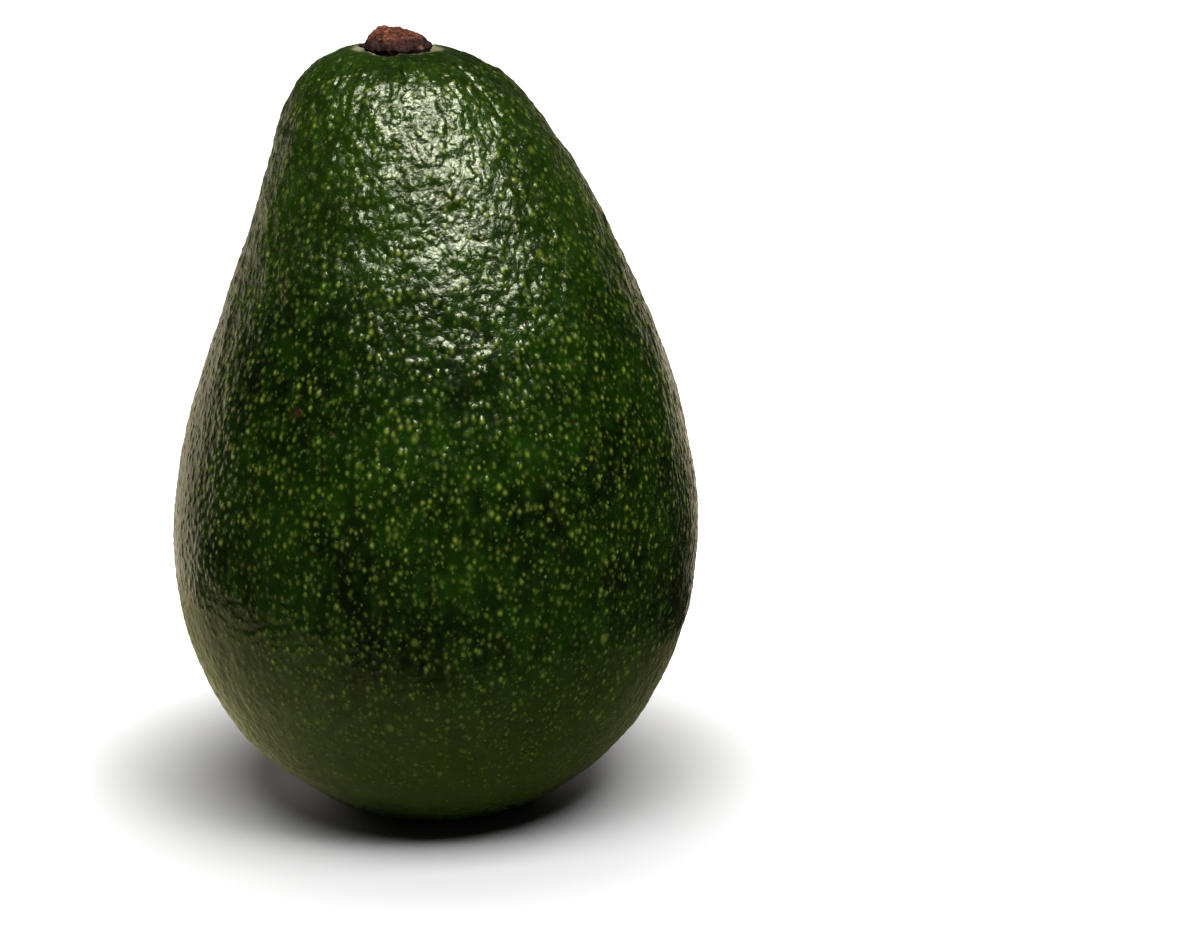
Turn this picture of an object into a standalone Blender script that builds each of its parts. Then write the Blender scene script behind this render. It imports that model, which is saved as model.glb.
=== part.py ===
"""Whole avocado standing on the small flat spot under its broad end, with the dry stub of its stalk on top.

Metres, +Z up, front towards -Y. The origin is the centre of the flat spot. The fruit's axis drifts
a little towards +X as it rises, and the neck bends back towards -X.
"""
import math

import bmesh
import bpy
import numpy as np

MM = 0.001

# Driving dimensions
SHOULDER_HEIGHT = 111.5 * MM    # from the flat spot to the shoulder round the stalk
FLAT_SPOT_RADIUS = 12.0 * MM
PIT_RADIUS = 5.1 * MM           # the shallow pit that the stalk sits in
PIT_DEPTH = 2.0 * MM
STUB_RADIUS = 4.8 * MM
STUB_RISE = 3.4 * MM            # how far the stalk's stub stands above the shoulder
PIT_CLEARANCE = 0.3 * MM        # left between the stub and the pit's wall and floor
AXIS_DRIFT = 1.8 * MM           # sideways drift of the axis from the flat spot to the shoulder
NECK_BEND = 5.8 * MM            # how far the neck bends back by the shoulder
NECK_START = 0.6                # fraction of the height where the neck begins to bend
DEPTH_RATIO = 0.97              # front-to-back size of a section over its width
LOBE_DEPTH = 0.006              # unevenness of a section, as a fraction of its radius
KNOB_DEPTH = 0.02               # the same for the stub

# Waves round a section that make it uneven: how many, their share, start and twist from foot to top
FRUIT_LOBES = [(2.0, 1.0, 1.1, 2.0), (3.0, 0.7, 0.4, -3.0)]
STUB_KNOBS = [(3.0, 1.0, 0.6, 0.0), (7.0, 0.6, 0.0, 0.0)]

FRUIT_SIDES = 56
FRUIT_STEPS = 3                 # rings from one point of the fruit's outline to the next
STUB_SIDES = 32
STUB_STEPS = 2
WELD_DISTANCE = 0.01 * MM
CREASE_ANGLE = math.radians(50)

# Outline of the fruit: height and half width, from the flat spot's edge to the pit's floor
FRUIT_OUTLINE = [
    (0.0, FLAT_SPOT_RADIUS),
    (3.0 * MM, 17.8 * MM),
    (12.0 * MM, 28.6 * MM),
    (25.0 * MM, 35.8 * MM),
    (40.0 * MM, 38.2 * MM),
    (56.0 * MM, 36.6 * MM),
    (72.0 * MM, 31.6 * MM),
    (90.0 * MM, 24.3 * MM),
    (101.0 * MM, 19.2 * MM),
    (107.5 * MM, 14.9 * MM),
    (110.6 * MM, 10.6 * MM),
    (SHOULDER_HEIGHT, 7.6 * MM),
    (SHOULDER_HEIGHT - 0.5 * MM, PIT_RADIUS + 0.6 * MM),
    (SHOULDER_HEIGHT - PIT_DEPTH, PIT_RADIUS),
]

# Outline of the stub: fractions of its height and of its radius
STUB_PROFILE = [(0.0, 0.93), (0.42, 1.0), (0.62, 0.90), (0.85, 0.68), (0.96, 0.46), (1.0, 0.20)]


def clear_scene():
    """Empty the scene of whatever it opened with."""
    for old in list(bpy.data.objects):
        bpy.data.objects.remove(old, do_unlink=True)


def plain_material(name, colour, roughness):
    """A plain Principled finish in linear RGB."""
    material = bpy.data.materials.new(name)
    material.use_nodes = True
    shader = material.node_tree.nodes["Principled BSDF"]
    shader.inputs["Base Color"].default_value = (*colour, 1.0)
    shader.inputs["Roughness"].default_value = roughness
    shader.inputs["Metallic"].default_value = 0.0
    return material


def smooth_curve(points, steps):
    """Points along a cubic Hermite curve through the given ones, eased by the distances between them."""
    knots = np.array(points)
    spans = np.linalg.norm(np.diff(knots, axis=0), axis=1)[:, None]
    slopes = np.diff(knots, axis=0) / spans
    tangents = np.empty_like(knots)
    tangents[1:-1] = (slopes[:-1] * spans[1:] + slopes[1:] * spans[:-1]) / (spans[:-1] + spans[1:])
    tangents[0] = 1.5 * slopes[0] - 0.5 * tangents[1]
    tangents[-1] = 1.5 * slopes[-1] - 0.5 * tangents[-2]
    curve = []
    for i, span in enumerate(spans[:, 0]):
        for t in np.arange(steps) / steps:
            start_part = (1.0 + 2.0 * t) * (1.0 - t) ** 2 * knots[i]
            end_part = t ** 2 * (3.0 - 2.0 * t) * knots[i + 1]
            leaving = t * (1.0 - t) ** 2 * span * tangents[i]
            arriving = t ** 2 * (1.0 - t) * span * tangents[i + 1]
            curve.append(start_part + end_part + leaving - arriving)
    curve.append(knots[-1])
    return curve


def axis_place(height):
    """Sideways place of the fruit's curved axis at a height."""
    rise = height / SHOULDER_HEIGHT
    along_neck = max(0.0, (rise - NECK_START) / (1.0 - NECK_START))
    return AXIS_DRIFT * rise - NECK_BEND * along_neck ** 2


def unevenness(waves, angle, rise):
    """How far a section swells at an angle, as the sum of the waves round it."""
    return sum(share * math.sin(count * angle + start + twist * rise) for count, share, start, twist in waves)


def grow_fruit(point):
    """Move a point of the round, straight turning to its place on the bent, slightly lobed fruit."""
    angle = math.atan2(point.y, point.x)
    radius = math.hypot(point.x, point.y)
    rise = point.z / SHOULDER_HEIGHT
    lobes = unevenness(FRUIT_LOBES, angle, rise)
    swollen = radius * (1.0 + LOBE_DEPTH * lobes * math.sin(math.pi * min(rise, 1.0)))
    across = swollen * math.cos(angle)
    deep = swollen * math.sin(angle) * DEPTH_RATIO
    return (axis_place(point.z) + across, deep, point.z)


def grow_stub(point):
    """Move a point of the round turning to its place on the knobbly stub, which fills the pit."""
    angle = math.atan2(point.y, point.x)
    tallest_knob = sum(share for _, share, _, _ in STUB_KNOBS)
    shrink = 1.0 - KNOB_DEPTH * (tallest_knob - unevenness(STUB_KNOBS, angle, 0.0))
    across = point.x * shrink
    deep = point.y * shrink * DEPTH_RATIO
    return (axis_place(SHOULDER_HEIGHT) + across, deep, point.z)


def turned_body(name, outline, sides, grow, material):
    """Spin an outline of heights and radii into a closed body, then grow it to its natural shape."""
    bm = bmesh.new()
    profile = [bm.verts.new((radius, 0.0, height)) for height, radius in outline]
    edges = [bm.edges.new(pair) for pair in zip(profile, profile[1:])]
    bmesh.ops.spin(bm, geom=profile + edges, cent=(0.0, 0.0, 0.0), axis=(0.0, 0.0, 1.0),
                   angle=2.0 * math.pi, steps=sides, use_merge=True)
    bmesh.ops.remove_doubles(bm, verts=bm.verts[:], dist=WELD_DISTANCE)
    bmesh.ops.holes_fill(bm, edges=[edge for edge in bm.edges if edge.is_boundary], sides=sides)
    for vert in bm.verts:
        vert.co = grow(vert.co)
    bmesh.ops.recalc_face_normals(bm, faces=bm.faces[:])
    mesh = bpy.data.meshes.new(name)
    bm.to_mesh(mesh)
    bm.free()
    mesh.shade_smooth()
    mesh.set_sharp_from_angle(angle=CREASE_ANGLE)
    mesh.materials.append(material)
    body = bpy.data.objects.new(name, mesh)
    bpy.context.scene.collection.objects.link(body)
    return body


def build_fruit():
    """The fruit in one piece, from its flat spot to the pit at its neck."""
    skin = plain_material("green_skin", (0.020, 0.042, 0.006), 0.32)
    outline = smooth_curve(FRUIT_OUTLINE, FRUIT_STEPS)
    return turned_body("fruit", outline, FRUIT_SIDES, grow_fruit, skin)


def build_stem_button():
    """The dry stub of the stalk, standing in the pit and clear of it all round."""
    bark = plain_material("dry_stalk", (0.100, 0.045, 0.030), 0.80)
    foot = SHOULDER_HEIGHT - PIT_DEPTH + PIT_CLEARANCE
    tallness = SHOULDER_HEIGHT + STUB_RISE - foot
    knots = [(foot + tallness * up, STUB_RADIUS * out) for up, out in STUB_PROFILE]
    return turned_body("stem_button", smooth_curve(knots, STUB_STEPS), STUB_SIDES, grow_stub, bark)


clear_scene()
build_fruit()
build_stem_button()
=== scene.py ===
"""Studio view of a whole avocado: pebbled, lime-flecked skin and a dry stalk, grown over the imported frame.

Metres, +Z up, front towards -Y. Patterns and relief are worked out in millimetres.
"""

import math

import bpy
import numpy as np
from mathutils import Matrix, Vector
from mathutils.bvhtree import BVHTree


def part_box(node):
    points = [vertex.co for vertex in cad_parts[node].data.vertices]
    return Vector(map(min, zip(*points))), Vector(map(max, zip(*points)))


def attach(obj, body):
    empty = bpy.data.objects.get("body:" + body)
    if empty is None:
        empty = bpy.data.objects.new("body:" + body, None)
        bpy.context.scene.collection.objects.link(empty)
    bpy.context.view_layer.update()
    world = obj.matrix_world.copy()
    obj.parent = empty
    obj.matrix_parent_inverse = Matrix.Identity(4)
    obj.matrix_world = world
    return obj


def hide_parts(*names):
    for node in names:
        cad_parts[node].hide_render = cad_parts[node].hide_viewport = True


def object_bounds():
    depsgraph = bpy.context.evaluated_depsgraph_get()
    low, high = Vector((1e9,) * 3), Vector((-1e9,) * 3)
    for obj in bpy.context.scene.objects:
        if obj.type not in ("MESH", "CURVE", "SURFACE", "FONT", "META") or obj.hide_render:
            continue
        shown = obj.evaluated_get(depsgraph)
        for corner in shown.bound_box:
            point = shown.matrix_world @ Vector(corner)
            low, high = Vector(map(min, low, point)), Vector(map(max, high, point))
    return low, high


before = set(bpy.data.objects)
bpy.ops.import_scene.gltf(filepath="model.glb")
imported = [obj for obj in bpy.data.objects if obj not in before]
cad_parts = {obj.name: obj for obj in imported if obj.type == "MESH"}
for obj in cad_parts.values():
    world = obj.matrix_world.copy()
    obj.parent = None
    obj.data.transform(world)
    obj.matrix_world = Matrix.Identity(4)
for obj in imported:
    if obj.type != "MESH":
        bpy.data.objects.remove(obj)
cad_low, cad_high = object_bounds()

MM = 0.001
PLACE = "grown_place"           # point attribute: where a point was before the relief moved it, in metres
GLOW = "glow"                   # point attribute: how brightly a reflection card shines

# The camera looks a little down on the front, and past the fruit to its right
LENS = 90.0                     # millimetres, on a sensor this wide
SENSOR_WIDTH = 36.0
CAMERA_DISTANCE = 0.4396
CAMERA_ELEVATION = math.radians(15.0)
CAMERA_YAW = math.radians(3.2)
CAMERA_DIP = math.radians(0.07)
CAMERA_AIM_HEIGHT = 0.435       # fraction of the object's height

# Skin mesh
COLUMNS = 704
ROWS = 480
CAD_SIDES = 56                  # facets round the CAD fruit, which the skin smooths away
RING_SPACING = 3.8 * MM         # and the distance between its rings
SMOOTH_FROM = 10.0 * MM         # the pit keeps its shape: smoothing starts this far from its axis
SMOOTH_FULL = 18.0 * MM
FOOT = 0.33                     # heights inside the fruit that rays are cast from, over the fruit's
CROWN = 0.84
TRIAL_ROWS = 240                # rays cast to measure the fruit's side before its rows are spaced
TRIAL_COLUMNS = 12

# Stalk mesh
STALK_COLUMNS = 220
STALK_ROWS = 110
# Outline of the stub: fractions of its height and of its radius
STALK_OUTLINE = [(0.0, 0.02), (0.0, 0.80), (0.12, 0.92), (0.38, 0.98), (0.50, 1.05), (0.62, 1.02),
                 (0.82, 0.84), (0.96, 0.62), (1.02, 0.38), (1.00, 0.02)]
STALK_GIRTH = 0.97              # the outline's radius is widened or narrowed by this and the waves round it
STALK_WAVES = [(3.0, 0.04, 0.7), (5.0, 0.03, 2.0)]      # how many round, how deep, and where they start
STALK_SLOPE = 0.16              # how far the top falls towards +X, over its height
STALK_LEAN = 0.35 * MM          # how far the top leans towards -X
# A whisker of bark that sticks out: place and size in turn (radians) and height, and length over the radius
WHISKER_TURN, WHISKER_SPREAD = math.pi + 0.15, 0.07
WHISKER_HEIGHT, WHISKER_THICKNESS = 0.56, 0.03
WHISKER_LENGTH = 0.24

STRETCH = 0.78                  # width of a fleck over its length along the fruit
# Kinds of fleck: offset of the pattern, spacing, and smallest and largest radius, in millimetres
FLECK_KINDS = {
    "main": ((0.0, 0.0, 0.0), 1.00, 0.40, 0.90),
    "dim": ((11.0, 23.0, 37.0), 1.05, 0.36, 0.84),
    "large": ((31.0, 7.0, 12.0), 4.2, 0.45, 0.95),
    "tiny": ((5.0, 43.0, 3.0), 0.85, 0.14, 0.32),
}

# Heights over the flat spot between which the skin changes, in millimetres
SETTLED = (0.0, 5.0)            # no relief on the flat spot itself
FOOT_TINT = (8.0, 34.0)
DOMES_RISE = (25.0, 60.0)
FLECKS_BRIGHTEN = (26.0, 58.0)
NECK_RELIEF = (60.0, 84.0)
NECK_GLOSS = (65.0, 88.0)
CROWN_TINT = (70.0, 108.0)
FOLDS_DEEPEN = (80.0, 108.0)
RIM_RISES = (96.0, 106.0)
PLAIN_FROM = (98.0, 104.0)
LIP_FROM = (100.0, 106.0)

# Distances from the pit's axis between which the crown changes, in millimetres
LIP_INNER = (4.9, 5.6)
LIP_OUTER = (6.0, 9.5)
LIP_COLOUR_ENDS = (6.1, 7.1)
PIT_WALL = (5.2, 5.8)
FOLDS_FADE = (5.5, 24.0)
TEXTURE_GROWS = (6.0, 12.0)
FLECKS_GROW = (7.0, 17.0)
SWELL_FADES = (10.0, 26.0)

# Azimuths run round from the front towards +X, in degrees
NOTCH_AZIMUTH = -16.0           # where the pit's lip dips
# Azimuth of a crease, the angles over level of its ends, and its half width in millimetres
CREASES = [(48.0, 60.0, 30.0, 0.50), (3.0, 60.0, 47.0, 0.40), (-40.0, 60.0, 46.0, 0.40),
           (106.0, 60.0, 24.0, 0.60), (172.0, 60.0, 30.0, 0.55), (-108.0, 60.0, 34.0, 0.55)]
CREASE_KNOTS = 5
CREASE_TURN = 0.08              # how far a crease turns aside, over how far it runs down
# Azimuth, height and radius of a russet scar, the last two in millimetres
SCARS = [(-31.0, 66.0, 0.9), (-21.0, 64.0, 0.5), (38.0, 64.5, 0.4), (44.0, 72.0, 0.4), (128.0, 52.0, 1.3),
         (-140.0, 74.0, 0.9), (-160.0, 38.0, 1.2), (84.0, 80.0, 0.7), (196.0, 62.0, 0.8)]

# Colours, in linear RGB
SHADED_GREEN = (0.0006, 0.0016, 0.0002)
LEAF_GREEN = (0.0032, 0.0125, 0.0003)
FOOT_OLIVE = (0.0140, 0.0285, 0.0010)
CROWN_GREEN = (0.0080, 0.0190, 0.0010)
DULL_LIME = (0.024, 0.040, 0.003)
BRIGHT_LIME = (0.100, 0.125, 0.014)
TINY_LIME = (0.035, 0.060, 0.008)
DIM_LIME = (0.046, 0.066, 0.006)
LARGE_LIME = (0.060, 0.078, 0.008)
RUSSET = (0.014, 0.0058, 0.0020)
CREASE_PAINTED_SHADE = (0.0012, 0.0016, 0.0006)
DRY_LIP = (0.115, 0.104, 0.056)
PIT_PAINTED_SHADE = (0.005, 0.004, 0.003)
BARK_DARK = (0.004, 0.0015, 0.0015)
BARK_PURPLE = (0.022, 0.008, 0.006)
TORN_DARK = (0.004, 0.0015, 0.0012)
TORN_BROWN = (0.046, 0.013, 0.006)
TORN_PALE = (0.135, 0.058, 0.034)
STALK_FOOT_PAINTED_SHADE = (0.004, 0.002, 0.002)
FLAP_TAN = (0.150, 0.085, 0.055)
WHITE = (1.0, 1.0, 1.0)

# Studio
FLOOR_RADIUS = 8.0
FLOOR_FADE = (0.030, 0.090)     # distances from the origin between which the floor turns white
LIGHT_AIM = 0.06                # height that the lights face
CARD_POINTS = 180               # points along each ring of a reflection card

fruit_low, fruit_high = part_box("fruit")
stub_low, stub_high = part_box("stem_button")
PIT = Vector(((stub_low.x + stub_high.x) / 2.0, (stub_low.y + stub_high.y) / 2.0, fruit_high.z))
STUB_RADIUS = (stub_high.x - stub_low.x) / 2.0


def cad_surface(name):
    """A CAD node's surface, to cast rays at."""
    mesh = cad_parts[name].data
    corners = [vert.co for vert in mesh.vertices]
    faces = [face.vertices for face in mesh.polygons]
    return BVHTree.FromPolygons(corners, faces)


FRUIT_SURFACE = cad_surface("fruit")


def outward_way(azimuth, tilt=0.0):
    """A direction at an azimuth and an angle over level, both in degrees."""
    turn = math.radians(azimuth)
    lift = math.radians(tilt)
    return Vector((math.sin(turn) * math.cos(lift), -math.cos(turn) * math.cos(lift), math.sin(lift)))


# ---------------------------------------------------------------- node wiring

class Wiring:
    """Adds nodes to a shader or geometry tree, so that a pattern reads as a formula."""

    def __init__(self, tree):
        self.tree = tree

    def add(self, kind, inputs=None, **settings):
        node = self.tree.nodes.new(kind)
        for name, value in settings.items():
            setattr(node, name, value)
        for name, value in (inputs or {}).items():
            self.feed(node.inputs[name], value)
        return node

    def feed(self, socket, value):
        if isinstance(value, bpy.types.NodeSocket):
            self.tree.links.new(value, socket)
        else:
            socket.default_value = value

    def math(self, operation, *values):
        node = self.tree.nodes.new("ShaderNodeMath")
        node.operation = operation
        for socket, value in zip(node.inputs, values):
            self.feed(socket, value)
        return node.outputs[0]

    def total(self, *terms):
        result = terms[0]
        for term in terms[1:]:
            result = self.math("ADD", result, term)
        return result

    def product(self, *factors):
        result = factors[0]
        for factor in factors[1:]:
            result = self.math("MULTIPLY", result, factor)
        return result

    def vector(self, operation, a, b=None):
        node = self.tree.nodes.new("ShaderNodeVectorMath")
        node.operation = operation
        self.feed(node.inputs[0], a)
        if b is not None:
            self.feed(node.inputs[1], b)
        return node.outputs["Value" if operation in ("LENGTH", "DISTANCE", "DOT_PRODUCT") else "Vector"]

    def scaled(self, vector, factor):
        node = self.tree.nodes.new("ShaderNodeVectorMath")
        node.operation = "SCALE"
        self.feed(node.inputs[0], vector)
        self.feed(node.inputs["Scale"], factor)
        return node.outputs["Vector"]

    def noise(self, place, size, detail=2.0, roughness=0.5):
        """Smooth noise from 0 to 1 whose features are about size apart, in the place's units."""
        node = self.add("ShaderNodeTexNoise", {"Vector": place, "Scale": 1.0 / size, "Detail": detail,
                                               "Roughness": roughness})
        return node.outputs[0]

    def signed_noise(self, place, size, detail=2.0, roughness=0.5):
        """The same from about -1 to 1."""
        value = self.noise(place, size, detail, roughness)
        return self.math("MULTIPLY_ADD", value, 2.0, -1.0)

    def warp(self, place, size, amount):
        """The place pushed about by noise, by up to about amount."""
        node = self.add("ShaderNodeTexNoise", {"Vector": place, "Scale": 1.0 / size, "Detail": 1.0})
        push = self.vector("SUBTRACT", node.outputs["Color"], (0.5, 0.5, 0.5))
        return self.vector("ADD", place, self.scaled(push, 2.0 * amount))

    def cells(self, place, size):
        """Scattered cells: their distances are in cells of the given size."""
        return self.add("ShaderNodeTexVoronoi", {"Vector": place, "Scale": 1.0 / size, "Randomness": 1.0})

    def step(self, value, start, end, low=0.0, high=1.0):
        """A smooth step from low at start to high at end."""
        node = self.tree.nodes.new("ShaderNodeMapRange")
        node.interpolation_type = "SMOOTHSTEP"
        for name, amount in (("Value", value), ("From Min", start), ("From Max", end),
                             ("To Min", low), ("To Max", high)):
            self.feed(node.inputs[name], amount)
        return node.outputs["Result"]

    def blend(self, factor, a, b):
        """Between two numbers."""
        node = self.tree.nodes.new("ShaderNodeMapRange")
        for name, amount in (("Value", factor), ("To Min", a), ("To Max", b)):
            self.feed(node.inputs[name], amount)
        return node.outputs["Result"]

    def paint(self, factor, under, over):
        """Between two colours. The node's sockets for numbers and vectors come before those for colours."""
        node = self.tree.nodes.new("ShaderNodeMix")
        node.data_type = "RGBA"
        self.feed(node.inputs[0], factor)
        for socket, colour in ((node.inputs[6], under), (node.inputs[7], over)):
            self.feed(socket, (*colour, 1.0) if isinstance(colour, tuple) else colour)
        return node.outputs[2]

    def spot(self, place, centre, radius):
        """1 at a centre, falling to 0 at a radius from it."""
        away = self.vector("DISTANCE", place, centre)
        return self.step(away, 0.35 * radius, radius, 1.0, 0.0)

    def stroke(self, place, start, end, half_width):
        """1 along a straight stroke, falling to 0 at half_width from it."""
        span = end - start
        from_start = self.vector("SUBTRACT", place, start)
        along = self.product(self.vector("DOT_PRODUCT", from_start, span), 1.0 / span.length_squared)
        along = self.math("MINIMUM", self.math("MAXIMUM", along, 0.0), 1.0)
        nearest = self.vector("ADD", start, self.scaled(span, along))
        away = self.vector("DISTANCE", place, nearest)
        return self.step(away, 0.0, half_width, 1.0, 0.0)

    def parts(self, vector):
        return self.add("ShaderNodeSeparateXYZ", {"Vector": vector}).outputs

    def join(self, x, y, z):
        return self.add("ShaderNodeCombineXYZ", {"X": x, "Y": y, "Z": z}).outputs[0]


# ---------------------------------------------------------------- skin pattern

def side_point(azimuth, height):
    """The place on the CAD fruit, in millimetres, at an azimuth and a height."""
    source = Vector((0.0, 0.0, height * MM))
    source += Vector((PIT.x, PIT.y, 0.0)) * (height * MM / fruit_high.z)
    return FRUIT_SURFACE.ray_cast(source, outward_way(azimuth))[0] / MM


def shoulder_point(azimuth, tilt):
    """The same at an azimuth and an angle over level, both seen from inside the neck."""
    source = Vector((PIT.x, PIT.y, fruit_high.z * CROWN))
    return FRUIT_SURFACE.ray_cast(source, outward_way(azimuth, tilt))[0] / MM


def crease(w, place, azimuth, upper, lower, half_width):
    """1 along a crease down the shoulder, between two angles over level."""
    tilts = np.linspace(upper, lower, CREASE_KNOTS)
    knots = [shoulder_point(azimuth - CREASE_TURN * (tilt - upper), tilt) for tilt in tilts]
    strokes = [w.stroke(place, start, end, half_width) for start, end in zip(knots, knots[1:])]
    deepest = strokes[0]
    for stroke in strokes[1:]:
        deepest = w.math("MAXIMUM", deepest, stroke)
    return deepest


def flecks(w, place, spacing, smallest, largest):
    """Scattered flecks: how much fleck is at the place, and a tone from 0 to 1 of its own for each."""
    texture = w.cells(place, spacing)
    tones = w.parts(texture.outputs["Color"])
    radius = w.math("DIVIDE", w.blend(tones[0], smallest, largest), spacing)
    amount = w.step(texture.outputs["Distance"], 0.0, radius, 1.0, 0.0)
    return amount, tones[1]


def skin_pattern(w, place):
    """What the relief and the colours share, from a place in millimetres."""
    x, y, z = w.parts(place)[:3]
    stretched = w.vector("MULTIPLY", w.warp(place, 2.2, 0.16), (1.0, 1.0, STRETCH))
    pattern = {"z": z}
    for kind, (offset, spacing, smallest, largest) in FLECK_KINDS.items():
        shifted = w.vector("ADD", stretched, offset)
        pattern[kind], pattern[kind + "_tone"] = flecks(w, shifted, spacing, smallest, largest)
    from_pit_x = w.math("SUBTRACT", x, PIT.x / MM)
    from_pit_y = w.math("SUBTRACT", y, PIT.y / MM)
    outward = w.join(from_pit_x, from_pit_y, 0.0)
    pattern["reach"] = w.vector("LENGTH", outward)
    pattern["around"] = w.vector("NORMALIZE", outward)
    wavering = w.warp(place, 3.0, 0.5)
    pattern["creases"] = w.total(*[crease(w, wavering, *numbers) for numbers in CREASES])
    ragged = w.warp(place, 0.8, 0.35)
    pattern["scars"] = w.total(*[w.spot(ragged, side_point(azimuth, height), radius)
                                 for azimuth, height, radius in SCARS])
    return pattern


def rim_relief(w, pattern):
    """Height of the lip round the pit and of the swell outside it, in millimetres."""
    reach = pattern["reach"]
    wavy = w.product(w.signed_noise(w.scaled(pattern["around"], 1.6), 1.0, 1.0), 0.30)
    notch = w.step(w.vector("DOT_PRODUCT", pattern["around"], outward_way(NOTCH_AZIMUTH)), 0.94, 0.995)
    crest = w.total(0.60, wavy, w.product(notch, -0.42))
    lip = w.product(w.step(reach, *LIP_INNER), w.step(reach, *LIP_OUTER, 1.0, 0.0), crest)
    swell = w.product(w.step(reach, *SWELL_FADES, 1.0, 0.0), 0.30)
    return w.product(w.total(lip, swell), w.step(pattern["z"], *RIM_RISES))


def skin_relief(w, place):
    """Height of the skin over the smooth fruit, in millimetres."""
    pattern = skin_pattern(w, place)
    z = pattern["z"]
    reach = pattern["reach"]
    neck = w.step(z, *NECK_RELIEF)
    shorter = w.vector("MULTIPLY", place, (1.0, 1.0, 0.8))
    aside = w.vector("ADD", shorter, (3.0, 9.0, 5.0))
    lumps = w.product(w.signed_noise(place, 17.0, 1.0), 0.50)
    dents = w.product(w.signed_noise(shorter, 6.0, 1.0), w.blend(neck, 0.16, 0.40))
    pebbles = w.product(w.signed_noise(aside, 2.3, 1.0), w.blend(neck, 0.08, 0.28))
    crinkle = w.product(w.signed_noise(place, 1.05, 1.5, 0.6), w.blend(neck, 0.015, 0.09))
    raised = w.total(w.product(pattern["main"], 0.09), w.product(pattern["dim"], 0.05),
                     w.product(pattern["large"], 0.05))
    fanned = w.vector("ADD", w.scaled(pattern["around"], 5.0), w.scaled(place, 0.02))
    folds = w.product(w.signed_noise(fanned, 1.0, 2.0), w.step(reach, *FOLDS_FADE, 1.0, 0.0),
                      w.step(z, *FOLDS_DEEPEN), 0.60)
    texture = w.total(dents, pebbles, crinkle, raised, folds)
    texture = w.product(texture, w.step(reach, *TEXTURE_GROWS, 0.35, 1.0))
    creases = w.total(w.product(pattern["creases"], -0.24), w.product(pattern["scars"], -0.10))
    settled = w.step(z, *SETTLED)
    return w.product(w.total(lumps, texture, creases, rim_relief(w, pattern)), settled)


# ---------------------------------------------------------------- meshes

def ray_rows(surface, stages, columns):
    """Rows of surface points seen from a path inside the fruit; stage 0 looks down and stage 1 up."""
    foot = Vector((0.0, 0.0, fruit_high.z * FOOT))
    crown = Vector((PIT.x, PIT.y, fruit_high.z * CROWN))
    angles = np.linspace(0.0, 2.0 * math.pi, columns, endpoint=False)
    rows = np.empty((len(stages), columns, 3))
    for row, stage in enumerate(stages):
        source = foot.lerp(crown, stage * stage * (3.0 - 2.0 * stage))
        tilt = (stage - 0.5) * math.pi
        level = math.cos(tilt)
        rise = math.sin(tilt)
        for column, angle in enumerate(angles):
            direction = Vector((level * math.cos(angle), level * math.sin(angle), rise))
            rows[row, column] = surface.ray_cast(source, direction)[0]
    return rows


def even_stages(surface, count):
    """Stages whose rows are evenly spaced along the fruit's side, without the two poles."""
    trial = np.linspace(0.001, 0.999, TRIAL_ROWS)
    rows = ray_rows(surface, trial, TRIAL_COLUMNS)
    lengths = np.linalg.norm(np.diff(rows, axis=0), axis=2).mean(axis=1)
    along = np.concatenate([[0.0], np.cumsum(lengths)])
    wanted = np.linspace(0.0, along[-1], count + 2)[1:-1]
    return np.interp(wanted, along, trial), along[-1]


def blur_loop(values, sigma_samples):
    """Gaussian blur of closed loops of points, along the first axis."""
    count = values.shape[0]
    spectrum = np.fft.rfft(values, axis=0)
    order = np.arange(spectrum.shape[0]) * 2.0 * math.pi * sigma_samples / count
    spectrum *= np.exp(-0.5 * order ** 2)[:, None, None]
    return np.fft.irfft(spectrum, n=count, axis=0)


def smooth_rows(rows, row_gap):
    """The CAD's facets blurred away, round the fruit and over its poles, everywhere but in the pit."""
    around = blur_loop(rows.transpose(1, 0, 2), 0.5 * COLUMNS / CAD_SIDES).transpose(1, 0, 2)
    half = COLUMNS // 2
    loops = np.concatenate([around[:, :half], around[::-1, half:]], axis=0)
    loops = blur_loop(loops, 0.5 * RING_SPACING / row_gap)
    smooth = np.concatenate([loops[:ROWS], loops[ROWS:][::-1]], axis=1)
    reach = np.hypot(rows[..., 0] - PIT.x, rows[..., 1] - PIT.y)
    share = np.clip((reach - SMOOTH_FROM) / (SMOOTH_FULL - SMOOTH_FROM), 0.0, 1.0)
    low_down = rows[..., 2] < fruit_high.z / 2.0
    share = np.where(low_down, 1.0, share * share * (3.0 - 2.0 * share))[..., None]
    blended = rows + (smooth - rows) * share
    blended[..., 2] = np.maximum(blended[..., 2], 0.0)
    return blended


def grid_map(count, columns):
    """The map of grid_mesh's corners: round the piece from left to right, and bottom to top."""
    column = np.arange(columns)
    row = np.arange(count - 1)
    quads = np.empty((count - 1, columns, 4, 2))
    quads[..., 0] = np.stack([column, column + 1, column + 1, column], axis=-1)[None]
    quads[..., 1] = np.stack([row + 1, row + 1, row + 2, row + 2], axis=-1)[:, None]
    under = np.empty((columns, 3, 2))
    under[..., 0] = np.stack([column + 1, column, column + 0.5], axis=-1)
    under[..., 1] = (1.0, 1.0, 0.0)
    over = np.empty((columns, 3, 2))
    over[..., 0] = np.stack([column, column + 1, column + 0.5], axis=-1)
    over[..., 1] = (count, count, count + 1.0)
    corners = np.concatenate([quads.reshape(-1, 2), under.reshape(-1, 2), over.reshape(-1, 2)])
    return corners / (columns, count + 1)


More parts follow.
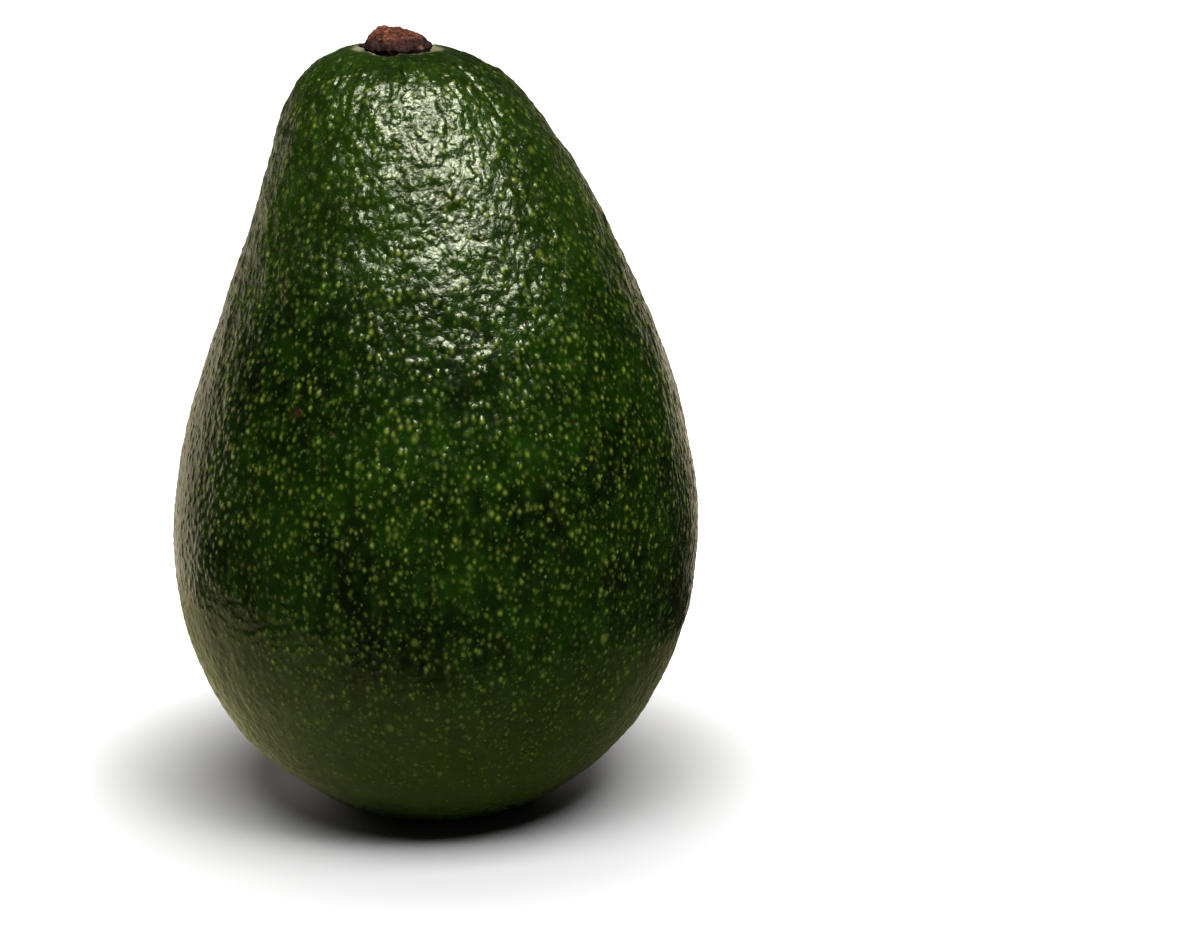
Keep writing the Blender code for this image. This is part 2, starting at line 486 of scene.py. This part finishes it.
def grid_mesh(name, rows):
    """A closed mesh from rings of points, bottom to top, with a point at each pole and a wrapped map."""
    count, columns = rows.shape[:2]
    foot = rows[0].mean(axis=0)
    crown = rows[-1].mean(axis=0)
    points = np.concatenate([rows.reshape(-1, 3), [foot, crown]])
    index = np.arange(count * columns).reshape(count, columns)
    after = np.roll(index, -1, axis=1)
    quads = np.stack([index[:-1], after[:-1], after[1:], index[1:]], axis=-1).reshape(-1, 4)
    under = np.stack([after[0], index[0], np.full(columns, count * columns)], axis=-1)
    over = np.stack([index[-1], after[-1], np.full(columns, count * columns + 1)], axis=-1)
    mesh = bpy.data.meshes.new(name)
    mesh.from_pydata(points.tolist(), [], quads.tolist() + under.tolist() + over.tolist())
    layer_map = grid_map(count, columns)
    layer = mesh.uv_layers.new(name="OFBake")
    layer.data.foreach_set("uv", layer_map.astype(np.float32).ravel())
    mesh.shade_smooth()
    return mesh


def add_object(name, mesh, material):
    """Link a mesh into the scene with one material."""
    mesh.materials.append(material)
    added = bpy.data.objects.new(name, mesh)
    bpy.context.scene.collection.objects.link(added)
    return added


def grow_relief(piece, relief):
    """Push the piece's points out by a relief worked out in geometry nodes, and apply it to the mesh."""
    tree = bpy.data.node_groups.new(piece.name + "_relief", "GeometryNodeTree")
    tree.interface.new_socket("Geometry", in_out="INPUT", socket_type="NodeSocketGeometry")
    tree.interface.new_socket("Geometry", in_out="OUTPUT", socket_type="NodeSocketGeometry")
    w = Wiring(tree)
    start = w.add("NodeGroupInput")
    position = w.add("GeometryNodeInputPosition").outputs[0]
    normal = w.add("GeometryNodeInputNormal").outputs[0]
    height = relief(w, w.scaled(position, 1.0 / MM))
    keep = w.add("GeometryNodeStoreNamedAttribute", data_type="FLOAT_VECTOR", domain="POINT")
    w.feed(keep.inputs["Geometry"], start.outputs[0])
    w.feed(keep.inputs["Name"], PLACE)
    w.feed(keep.inputs["Value"], position)
    move = w.add("GeometryNodeSetPosition")
    w.feed(move.inputs["Geometry"], keep.outputs[0])
    w.feed(move.inputs["Offset"], w.scaled(normal, w.math("MULTIPLY", height, MM)))
    end = w.add("NodeGroupOutput")
    w.feed(end.inputs[0], move.outputs[0])
    modifier = piece.modifiers.new("relief", "NODES")
    modifier.node_group = tree
    depsgraph = bpy.context.evaluated_depsgraph_get()
    grown = bpy.data.meshes.new_from_object(piece.evaluated_get(depsgraph), depsgraph=depsgraph)
    piece.modifiers.clear()
    piece.data = grown
    bpy.data.node_groups.remove(tree)


# ---------------------------------------------------------------- materials

def add_bump(w, shader, height, strength=1.0):
    """Shade the surface as if raised by a height in millimetres."""
    bump = w.add("ShaderNodeBump", {"Height": w.product(height, MM), "Distance": 1.0, "Strength": strength})
    w.feed(shader.inputs["Normal"], bump.outputs[0])


def new_material(name):
    """A node material, its wiring, its Principled shader, and the grown place in millimetres."""
    material = bpy.data.materials.new(name)
    material.use_nodes = True
    w = Wiring(material.node_tree)
    shader = material.node_tree.nodes["Principled BSDF"]
    where = w.add("ShaderNodeAttribute", attribute_name=PLACE)
    place = w.scaled(where.outputs["Vector"], 1.0 / MM)
    return material, w, shader, place


def skin_colour(w, place, pattern, plain_crown):
    """Mottled dark green, lime flecks, russet scars and a dry lip round the pit, with painted shade in the
    creases and on the pit's wall.
    """
    z = pattern["z"]
    patches = w.noise(place, 15.0, 2.0)
    mottle = w.noise(w.vector("MULTIPLY", place, (1.0, 1.0, 0.6)), 2.4, 2.0)
    light = w.math("ADD", w.product(w.step(patches, 0.28, 0.74), 0.50),
                   w.product(w.step(mottle, 0.35, 0.75), 0.50))
    colour = w.paint(light, SHADED_GREEN, LEAF_GREEN)
    colour = w.paint(w.product(w.step(z, *FOOT_TINT, 1.0, 0.0), 0.75), colour, FOOT_OLIVE)
    colour = w.paint(w.product(w.step(z, *CROWN_TINT), w.blend(light, 0.25, 0.75)), colour, CROWN_GREEN)

    lime = w.paint(pattern["main_tone"], DULL_LIME, BRIGHT_LIME)
    strength = w.blend(w.product(pattern["main_tone"], w.blend(light, 0.7, 1.1)), 0.25, 1.0)
    strength = w.product(strength, w.step(z, *FLECKS_BRIGHTEN, 0.52, 1.0), plain_crown)
    dim = w.product(w.math("POWER", pattern["dim"], 2.6), w.blend(pattern["dim_tone"], 0.12, 0.70),
                    plain_crown)
    halo = w.product(w.math("POWER", pattern["main"], 2.2), strength, 0.40)
    core = w.product(w.math("POWER", pattern["main"], 5.0), strength, 0.90)
    large = w.product(pattern["large"], w.step(pattern["large_tone"], 0.35, 0.9), 0.8, plain_crown)
    colour = w.paint(w.product(pattern["tiny"], w.blend(pattern["tiny_tone"], 0.15, 0.8)), colour, TINY_LIME)
    colour = w.paint(dim, colour, DIM_LIME)
    colour = w.paint(halo, colour, lime)
    colour = w.paint(core, colour, lime)
    colour = w.paint(large, colour, LARGE_LIME)

    colour = w.paint(w.math("MINIMUM", pattern["scars"], 1.0), colour, RUSSET)
    # Painted shade: the creases are darkened along their grooves, over the real grooves in the relief
    colour = w.paint(w.math("MINIMUM", w.product(pattern["creases"], 0.8), 1.0), colour, CREASE_PAINTED_SHADE)
    colour = w.paint(w.product(dry_lip(w, place, pattern), 0.8), colour, DRY_LIP)
    # Painted shade: the skin's wall down into the pit, round the stalk, is painted near black
    inside = w.product(w.step(pattern["reach"], *PIT_WALL, 1.0, 0.0), w.step(z, *LIP_FROM))
    return w.paint(inside, colour, PIT_PAINTED_SHADE)


def dry_lip(w, place, pattern):
    """1 on the ragged dry lip round the pit."""
    ragged_reach = w.math("ADD", pattern["reach"], w.product(w.signed_noise(place, 1.5), 0.35))
    return w.product(w.step(ragged_reach, *LIP_COLOUR_ENDS, 1.0, 0.0), w.step(pattern["z"], *LIP_FROM))


def skin_grain(w, place, pattern, neck):
    """Height of the relief too fine for the mesh, in millimetres: coarser and deeper up the neck."""
    z = pattern["z"]
    shorter = w.vector("MULTIPLY", w.vector("ADD", place, (17.0, 4.0, 8.0)), (1.0, 1.0, 0.8))
    pebbles = w.product(w.noise(shorter, 1.9, 1.5), w.blend(neck, 0.0, 0.46))
    grain = w.product(w.noise(place, 0.50, 2.5, 0.62), w.blend(neck, 0.030, 0.125))
    pores = w.product(w.noise(place, 0.22, 1.0), w.blend(neck, 0.003, 0.016))
    domes = w.product(w.math("POWER", pattern["main"], 1.5), w.step(z, *DOMES_RISE, 0.012, 0.075))
    dim_domes = w.product(w.math("POWER", pattern["dim"], 1.5), w.step(z, *DOMES_RISE, 0.008, 0.045))
    return w.total(pebbles, grain, domes, dim_domes, pores)


def skin_material():
    """Dark glossy skin that shines most, and most unevenly, up the neck."""
    material, w, shader, place = new_material("avocado_skin")
    pattern = skin_pattern(w, place)
    z = pattern["z"]
    neck = w.step(z, *NECK_GLOSS)
    # Few flecks and little grain close round the pit
    plain_crown = w.math("MAXIMUM", w.step(pattern["reach"], *FLECKS_GROW, 0.30, 1.0),
                         w.step(z, *PLAIN_FROM, 1.0, 0.0))
    w.feed(shader.inputs["Base Color"], skin_colour(w, place, pattern, plain_crown))
    gloss = w.total(w.blend(neck, 0.185, 0.225), w.product(w.signed_noise(place, 1.6, 2.0), 0.08),
                    w.product(pattern["main"], 0.06), w.product(dry_lip(w, place, pattern), 0.35))
    w.feed(shader.inputs["Roughness"], gloss)
    shader.inputs["IOR"].default_value = 1.45
    shader.inputs["Specular Tint"].default_value = (0.96, 1.0, 0.72, 1.0)
    sheen = w.noise(w.vector("ADD", place, (2.0, 7.0, 1.0)), 0.42, 2.0, 0.65)
    bloom = w.noise(w.vector("ADD", place, (9.0, 1.0, 4.0)), 2.6, 1.5)
    sheen = w.total(w.step(sheen, 0.34, 0.68, 0.12, 0.62), w.step(bloom, 0.35, 0.70, -0.08, 0.26))
    w.feed(shader.inputs["Specular IOR Level"], w.blend(neck, w.blend(sheen, 0.25, 0.50), sheen))
    add_bump(w, shader, w.product(skin_grain(w, place, pattern, neck), plain_crown))
    return material


def stalk_material():
    """Dry, crumbly stalk: purple-brown sides, a torn orange-brown top, and painted shade round its foot
    where it sits in the pit.
    """
    material, w, shader, place = new_material("dry_stalk")
    z = w.parts(place)[2]
    top = stub_high.z / MM
    brink = PIT.z / MM
    fibre = w.noise(w.vector("MULTIPLY", place, (1.0, 1.0, 0.35)), 0.55, 3.0, 0.6)
    crumb = w.noise(place, 0.8, 3.0, 0.65)
    streaks = w.noise(w.vector("MULTIPLY", place, (0.45, 1.0, 1.3)), 0.42, 3.0, 0.65)
    side = w.paint(w.step(fibre, 0.35, 0.7), BARK_DARK, BARK_PURPLE)
    torn = w.paint(w.step(crumb, 0.32, 0.60), TORN_DARK, TORN_BROWN)
    torn = w.paint(w.step(streaks, 0.52, 0.68), torn, TORN_PALE)
    ragged = w.math("ADD", z, w.product(w.signed_noise(place, 1.2), 0.7))
    colour = w.paint(w.step(ragged, top - 1.7, top - 0.6), side, torn)
    # Painted shade: the stalk is darkened just above the pit's rim, where it sinks into the pit
    colour = w.paint(w.step(z, brink + 0.2, brink + 1.1, 0.8, 0.0), colour, STALK_FOOT_PAINTED_SHADE)
    flap_centre = Vector((PIT.x / MM + 3.8, PIT.y / MM - 2.9, brink + 0.75))
    flap = w.spot(w.warp(place, 0.9, 0.4), flap_centre, 1.15)
    colour = w.paint(w.product(flap, w.step(crumb, 0.30, 0.55), 0.8), colour, FLAP_TAN)
    w.feed(shader.inputs["Base Color"], colour)
    shader.inputs["Roughness"].default_value = 0.85
    shader.inputs["Specular IOR Level"].default_value = 0.08
    add_bump(w, shader, w.total(w.product(fibre, 0.16), w.product(w.noise(place, 0.3, 2.0), 0.06)), 0.9)
    return material


# ---------------------------------------------------------------- the fruit

def build_skin():
    """The whole fruit's surface, from the CAD fruit's, smoothed and given its relief."""
    stages, length = even_stages(FRUIT_SURFACE, ROWS)
    rows = smooth_rows(ray_rows(FRUIT_SURFACE, stages, COLUMNS), length / (ROWS + 1))
    skin = add_object("avocado_fruit", grid_mesh("avocado_fruit", rows), skin_material())
    grow_relief(skin, skin_relief)
    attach(skin, "root")
    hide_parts("fruit")
    return skin


def stalk_rows():
    """Rings of the stub's broad shape: a squat mound with a steep left side and a sloping right one."""
    outline = np.array(STALK_OUTLINE)
    spans = np.linalg.norm(np.diff(outline, axis=0), axis=1)
    along = np.concatenate([[0.0], np.cumsum(spans)])
    wanted = np.linspace(0.0, along[-1], STALK_ROWS)
    height = np.interp(wanted, along, outline[:, 0])[:, None]
    radius = np.interp(wanted, along, outline[:, 1])[:, None]
    angle = np.linspace(0.0, 2.0 * math.pi, STALK_COLUMNS, endpoint=False)[None, :]
    girth = STALK_GIRTH + sum(depth * np.sin(count * angle + start) for count, depth, start in STALK_WAVES)
    whisker = np.exp(-((angle - WHISKER_TURN) / WHISKER_SPREAD) ** 2
                     - ((height - WHISKER_HEIGHT) / WHISKER_THICKNESS) ** 2)
    reach = STUB_RADIUS * radius * (girth + WHISKER_LENGTH * whisker)
    tall = stub_high.z - stub_low.z
    upper_half = np.clip(height * 2.0 - 1.0, 0.0, 1.0)
    slope = 1.0 - STALK_SLOPE * np.clip(np.cos(angle) * radius, -0.3, 1.0) * upper_half
    rows = np.empty((STALK_ROWS, STALK_COLUMNS, 3))
    rows[..., 0] = PIT.x + reach * np.cos(angle) - STALK_LEAN * height
    rows[..., 1] = PIT.y + reach * np.sin(angle)
    rows[..., 2] = stub_low.z + tall * height * slope
    return rows


def stalk_relief(w, place):
    """Height of the crumbly bark over the stub's broad shape, in millimetres."""
    z = w.parts(place)[2]
    outward = w.vector("SUBTRACT", place, (PIT.x / MM, PIT.y / MM, 0.0))
    around = w.vector("NORMALIZE", w.vector("MULTIPLY", outward, (1.0, 1.0, 0.0)))
    fanned = w.vector("ADD", w.scaled(around, 3.0), w.scaled(place, 0.08))
    lobes = w.product(w.signed_noise(fanned, 1.0, 2.0), 0.42)
    grit = w.product(w.signed_noise(place, 0.9, 3.0, 0.6), 0.30)
    cracks = w.cells(w.warp(place, 1.0, 0.3), 1.1)
    crumbs = w.product(w.math("SUBTRACT", 0.5, cracks.outputs["Distance"]), 0.38)
    above = w.step(z, PIT.z / MM - 0.6, PIT.z / MM + 0.8)
    return w.product(w.total(lobes, grit, crumbs), above)


def build_stalk():
    """The dry stub, standing in the pit."""
    stalk = add_object("avocado_stalk", grid_mesh("avocado_stalk", stalk_rows()), stalk_material())
    grow_relief(stalk, stalk_relief)
    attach(stalk, "root")
    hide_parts("stem_button")
    return stalk


# ---------------------------------------------------------------- studio

def plain_material(name, colour, roughness, specular):
    """An even finish."""
    material = bpy.data.materials.new(name)
    material.use_nodes = True
    shader = material.node_tree.nodes["Principled BSDF"]
    shader.inputs["Base Color"].default_value = (*colour, 1.0)
    shader.inputs["Roughness"].default_value = roughness
    shader.inputs["Specular IOR Level"].default_value = specular
    return material


def floor_material():
    """Pale floor that fades into the pale wall away from the fruit."""
    material = plain_material("pale_floor", (0.30, 0.30, 0.30), 0.9, 0.0)
    w = Wiring(material.node_tree)
    shader = material.node_tree.nodes["Principled BSDF"]
    place = w.add("ShaderNodeNewGeometry").outputs["Position"]
    away = w.vector("LENGTH", place)
    shader.inputs["Emission Color"].default_value = (*WHITE, 1.0)
    w.feed(shader.inputs["Emission Strength"], w.step(away, *FLOOR_FADE))
    return material


def build_floor():
    """A wide, plain, pale floor."""
    bpy.ops.mesh.primitive_circle_add(vertices=96, radius=FLOOR_RADIUS, fill_type="NGON",
                                      location=(0.0, 0.0, 0.0))
    floor = bpy.context.object
    floor.name = "floor"
    floor.data.materials.append(floor_material())
    return floor


def panel(name, azimuth, elevation, distance, width, height, radiance, colour=WHITE):
    """A soft rectangular light facing the fruit."""
    aim = Vector((0.0, 0.0, LIGHT_AIM))
    away = outward_way(azimuth, elevation)
    data = bpy.data.lights.new(name, "AREA")
    data.shape = "RECTANGLE"
    data.size = width
    data.size_y = height
    data.energy = radiance * math.pi * width * height
    data.color = colour
    light = bpy.data.objects.new(name, data)
    light.location = aim + away * distance
    light.rotation_euler = away.to_track_quat("Z", "Y").to_euler()
    light.visible_camera = False
    bpy.context.scene.collection.objects.link(light)
    return light


def ring_card(name, rings, glows, colour):
    """A card round the fruit, seen only in reflections.

    rings lists radii at the side and in front, the height, and the share of the glow there. glows lists
    azimuths and the glow at each.
    """
    azimuths, levels = np.array(glows).T
    turns = np.linspace(azimuths[0], azimuths[-1], CARD_POINTS)
    levels = np.interp(turns, azimuths, levels)
    points = []
    strengths = []
    for at_side, in_front, height, share in rings:
        radii = np.interp(turns, (-90.0, 0.0), (at_side, in_front))
        sides = np.sin(np.radians(turns)) * radii
        fronts = -np.cos(np.radians(turns)) * radii
        points += [(x, y, height) for x, y in zip(sides, fronts)]
        strengths += list(levels * share)
    faces = []
    for ring in range(len(rings) - 1):
        for point in range(CARD_POINTS - 1):
            inner = ring * CARD_POINTS + point
            outer = inner + CARD_POINTS
            faces.append((inner, outer, outer + 1, inner + 1))
    mesh = bpy.data.meshes.new(name)
    mesh.from_pydata(points, [], faces)
    finish = plain_material(name, (0.0, 0.0, 0.0), 1.0, 0.0)
    shader = finish.node_tree.nodes["Principled BSDF"]
    shader.inputs["Emission Color"].default_value = (*colour, 1.0)
    glow = mesh.attributes.new(GLOW, "FLOAT", "POINT")
    glow.data.foreach_set("value", strengths)
    w = Wiring(finish.node_tree)
    shine = w.add("ShaderNodeAttribute", attribute_name=GLOW)
    w.feed(shader.inputs["Emission Strength"], shine.outputs["Fac"])
    card = add_object(name, mesh, finish)
    card.visible_camera = False
    card.visible_diffuse = False
    card.visible_shadow = False
    card.visible_transmission = False
    return card


def build_world():
    """Dim surroundings that the camera sees as a pale wall."""
    world = bpy.data.worlds.new("studio")
    world.use_nodes = True
    bpy.context.scene.world = world
    w = Wiring(world.node_tree)
    surroundings = world.node_tree.nodes["Background"]
    surroundings.inputs["Color"].default_value = (*WHITE, 1.0)
    surroundings.inputs["Strength"].default_value = 0.03
    wall = w.add("ShaderNodeBackground", {"Color": (*WHITE, 1.0), "Strength": 1.0})
    path = w.add("ShaderNodeLightPath")
    either = w.add("ShaderNodeMixShader", {0: path.outputs["Is Camera Ray"]})
    w.feed(either.inputs[1], surroundings.outputs[0])
    w.feed(either.inputs[2], wall.outputs[0])
    w.feed(world.node_tree.nodes["World Output"].inputs["Surface"], either.outputs[0])


def build_studio():
    """Floor, lights and reflections: one large soft light high in front, and a pale background behind."""
    build_floor()
    build_world()
    panel("key_softbox", azimuth=9.0, elevation=63.0, distance=0.60, width=0.56, height=0.30, radiance=23.5)
    panel("key_core", azimuth=27.0, elevation=48.0, distance=0.58, width=0.14, height=0.12, radiance=26.0)
    rear_fill = panel("rear_fill", azimuth=200.0, elevation=25.0, distance=1.2, width=1.5, height=1.0,
                      radiance=2.2, colour=(1.0, 0.95, 0.86))
    rear_fill.visible_glossy = False
    # Grey-brown edges down both flanks, from behind, and an olive haze low down in front
    level = 0.4 * MM
    ring_card("surround_card",
              rings=[(0.118, 0.080, level, 1.0), (1.2, 1.2, level, 1.0), (1.25, 1.25, 0.12, 0.5),
                     (1.3, 1.3, 0.40, 0.0)],
              glows=[(-180.0, 0.55), (-140.0, 0.95), (-121.0, 1.15), (-114.0, 0.03), (132.0, 0.02),
                     (152.0, 1.0), (180.0, 0.55)],
              colour=(1.0, 0.87, 0.62))
    level = 0.2 * MM
    ring_card("olive_card",
              rings=[(0.016, 0.016, level, 0.0), (0.045, 0.045, level, 1.0), (0.3, 0.3, level, 1.0)],
              glows=[(-180.0, 0.40), (-120.0, 0.62), (-60.0, 0.62), (-30.0, 0.42), (0.0, 0.28),
                     (40.0, 0.15), (120.0, 0.20), (180.0, 0.40)],
              colour=(1.0, 0.92, 0.48))
    bpy.context.scene.view_settings.view_transform = "Standard"


def build_camera():
    """The camera in front, looking a little down, with the fruit left of the middle."""
    data = bpy.data.cameras.new("camera")
    data.lens = LENS
    data.sensor_width = SENSOR_WIDTH
    data.clip_start = 0.01
    camera = bpy.data.objects.new("camera", data)
    aim = Vector((0.0, 0.0, (cad_high.z - cad_low.z) * CAMERA_AIM_HEIGHT))
    back = Vector((0.0, -math.cos(CAMERA_ELEVATION), math.sin(CAMERA_ELEVATION)))
    camera.location = aim + back * CAMERA_DISTANCE
    right = Vector((1.0, 0.0, 0.0))
    up = right.cross(-back)
    forward = -back + right * math.tan(CAMERA_YAW) - up * math.tan(CAMERA_DIP)
    camera.rotation_euler = forward.to_track_quat("-Z", "Y").to_euler()
    bpy.context.scene.collection.objects.link(camera)
    bpy.context.scene.camera = camera


build_camera()
build_studio()
build_skin()
build_stalk()
